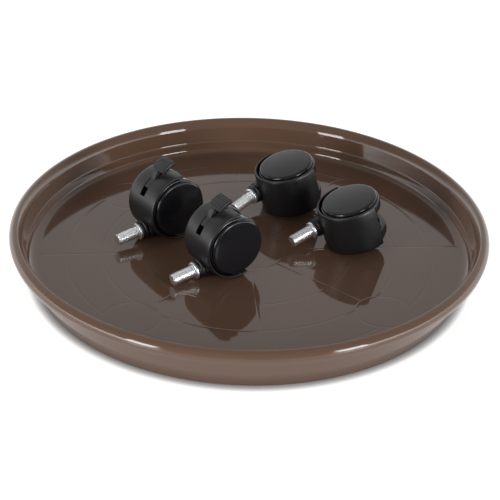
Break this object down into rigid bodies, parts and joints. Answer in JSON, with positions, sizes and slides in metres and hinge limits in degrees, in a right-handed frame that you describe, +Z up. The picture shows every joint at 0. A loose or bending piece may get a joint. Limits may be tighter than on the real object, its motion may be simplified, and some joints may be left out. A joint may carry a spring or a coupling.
{
  "type": "plant pot caddy",
  "caption": "Round moulded dish with a rolled rim that carries a plant pot on twin-wheel casters, shown with the casters taken off and lying in the dish.",
  "frame": {"origin": "centre of the dish at the level of its bottom edge", "axes": "+Z up, the way the pot stands; +Y away from the viewer of the picture; +X to the viewer's right"},
  "size_m": [0.32, 0.32, 0.065],
  "materials": {
    "dish": "moulded gloss brown",
    "insert": "turned brass",
    "hood": "fine matt texture, black",
    "steel": "drawn steel",
    "zinc": "bright zinc plate",
    "spring": "oiled spring steel",
    "bush": "natural acetal",
    "wheel": "satin black",
    "tread": "black, fine matt",
    "lever": "fine matt texture, black",
    "pad": "dark grey"
  },
  "bodies": {
    "tray": {"tray": "dish", "inserts": "insert"},
    "housing_a": {"hood_a": "hood", "axle_a": "steel", "bush_a": "bush", "lever_pin_a": "steel"},
    "stem_a": {"stem_a": "zinc", "clip_a": "spring"},
    "wheel_a_left": {"wheel_a_left": "wheel", "hub_a_left": "bush", "tread_a_left": "tread"},
    "wheel_a_right": {"wheel_a_right": "wheel", "hub_a_right": "bush", "tread_a_right": "tread"},
    "lever_a": {"lever_a": "lever", "brake_bar_a": "steel", "brake_pads_a": "pad"},
    "housing_b": {"hood_b": "hood", "axle_b": "steel", "bush_b": "bush", "lever_pin_b": "steel"},
    "stem_b": {"stem_b": "zinc", "clip_b": "spring"},
    "wheel_b_left": {"wheel_b_left": "wheel", "hub_b_left": "bush", "tread_b_left": "tread"},
    "wheel_b_right": {"wheel_b_right": "wheel", "hub_b_right": "bush", "tread_b_right": "tread"},
    "lever_b": {"lever_b": "lever", "brake_bar_b": "steel", "brake_pads_b": "pad"},
    "housing_c": {"hood_c": "hood", "axle_c": "steel", "bush_c": "bush"},
    "stem_c": {"stem_c": "zinc", "clip_c": "spring"},
    "wheel_c_left": {"wheel_c_left": "wheel", "hub_c_left": "bush", "tread_c_left": "tread"},
    "wheel_c_right": {"wheel_c_right": "wheel", "hub_c_right": "bush", "tread_c_right": "tread"},
    "housing_d": {"hood_d": "hood", "axle_d": "steel", "bush_d": "bush"},
    "stem_d": {"stem_d": "zinc", "clip_d": "spring"},
    "wheel_d_left": {"wheel_d_left": "wheel", "hub_d_left": "bush", "tread_d_left": "tread"},
    "wheel_d_right": {"wheel_d_right": "wheel", "hub_d_right": "bush", "tread_d_right": "tread"}
  },
  "joints": [
    {"name": "caster_a_lift", "type": "slide", "parent": "tray", "child": "housing_a", "axis": [0, 0, 1], "range_m": [0, 0.12]},
    {"name": "caster_a_swivel", "type": "hinge", "parent": "housing_a", "child": "stem_a", "pos_m": [-0.07042, 0.01202, 0.01854], "axis": [-0.7906, -0.6069, -0.0818], "continuous": true},
    {"name": "wheel_a_left_roll", "type": "hinge", "parent": "housing_a", "child": "wheel_a_left", "pos_m": [-0.06203, 0.03215, 0.03264], "axis": [0.6033, -0.7948, 0.0663], "continuous": true},
    {"name": "wheel_a_right_roll", "type": "hinge", "parent": "housing_a", "child": "wheel_a_right", "pos_m": [-0.04997, 0.01625, 0.03396], "axis": [0.6033, -0.7948, 0.0663], "continuous": true},
    {"name": "brake_a_press", "type": "hinge", "parent": "housing_a", "child": "lever_a", "pos_m": [-0.06427, 0.01909, 0.04722], "axis": [-0.6033, 0.7948, -0.0663], "range_deg": [0, 9.4]},
    {"name": "caster_b_lift", "type": "slide", "parent": "tray", "child": "housing_b", "axis": [0, 0, 1], "range_m": [0, 0.12]},
    {"name": "caster_b_swivel", "type": "hinge", "parent": "housing_b", "child": "stem_b", "pos_m": [-0.03038, -0.03495, 0.01731], "axis": [-0.8142, -0.5657, -0.1304], "continuous": true},
    {"name": "wheel_b_left_roll", "type": "hinge", "parent": "housing_b", "child": "wheel_b_left", "pos_m": [-0.02146, -0.01597, 0.03262], "axis": [0.566, -0.8235, 0.0384], "continuous": true},
    {"name": "wheel_b_right_roll", "type": "hinge", "parent": "housing_b", "child": "wheel_b_right", "pos_m": [-0.01014, -0.03243, 0.03338], "axis": [0.566, -0.8235, 0.0384], "continuous": true},
    {"name": "brake_b_press", "type": "hinge", "parent": "housing_b", "child": "lever_b", "pos_m": [-0.02462, -0.02963, 0.04646], "axis": [-0.566, 0.8235, -0.0384], "range_deg": [0, 9.4]},
    {"name": "caster_c_lift", "type": "slide", "parent": "tray", "child": "housing_c", "axis": [0, 0, 1], "range_m": [0, 0.12]},
    {"name": "caster_c_swivel", "type": "hinge", "parent": "housing_c", "child": "stem_c", "pos_m": [0.00511, 0.05775, 0.02357], "axis": [-0.6845, -0.6984, -0.209], "continuous": true},
    {"name": "wheel_c_left_roll", "type": "hinge", "parent": "housing_c", "child": "wheel_c_left", "pos_m": [0.02553, 0.06171, 0.0391], "axis": [0.2365, 0.0585, -0.9699], "continuous": true},
    {"name": "wheel_c_right_roll", "type": "hinge", "parent": "housing_c", "child": "wheel_c_right", "pos_m": [0.03027, 0.06288, 0.0197], "axis": [0.2365, 0.0585, -0.9699], "continuous": true},
    {"name": "caster_d_lift", "type": "slide", "parent": "tray", "child": "housing_d", "axis": [0, 0, 1], "range_m": [0, 0.12]},
    {"name": "caster_d_swivel", "type": "hinge", "parent": "housing_d", "child": "stem_d", "pos_m": [0.04758, 0.01221, 0.02349], "axis": [-0.8105, -0.5253, -0.2589], "continuous": true},
    {"name": "wheel_d_left_roll", "type": "hinge", "parent": "housing_d", "child": "wheel_d_left", "pos_m": [0.06783, 0.01104, 0.0397], "axis": [0.2769, 0.0458, -0.9598], "continuous": true},
    {"name": "wheel_d_right_roll", "type": "hinge", "parent": "housing_d", "child": "wheel_d_right", "pos_m": [0.07337, 0.01196, 0.0205], "axis": [0.2769, 0.0458, -0.9598], "continuous": true}
  ]
}
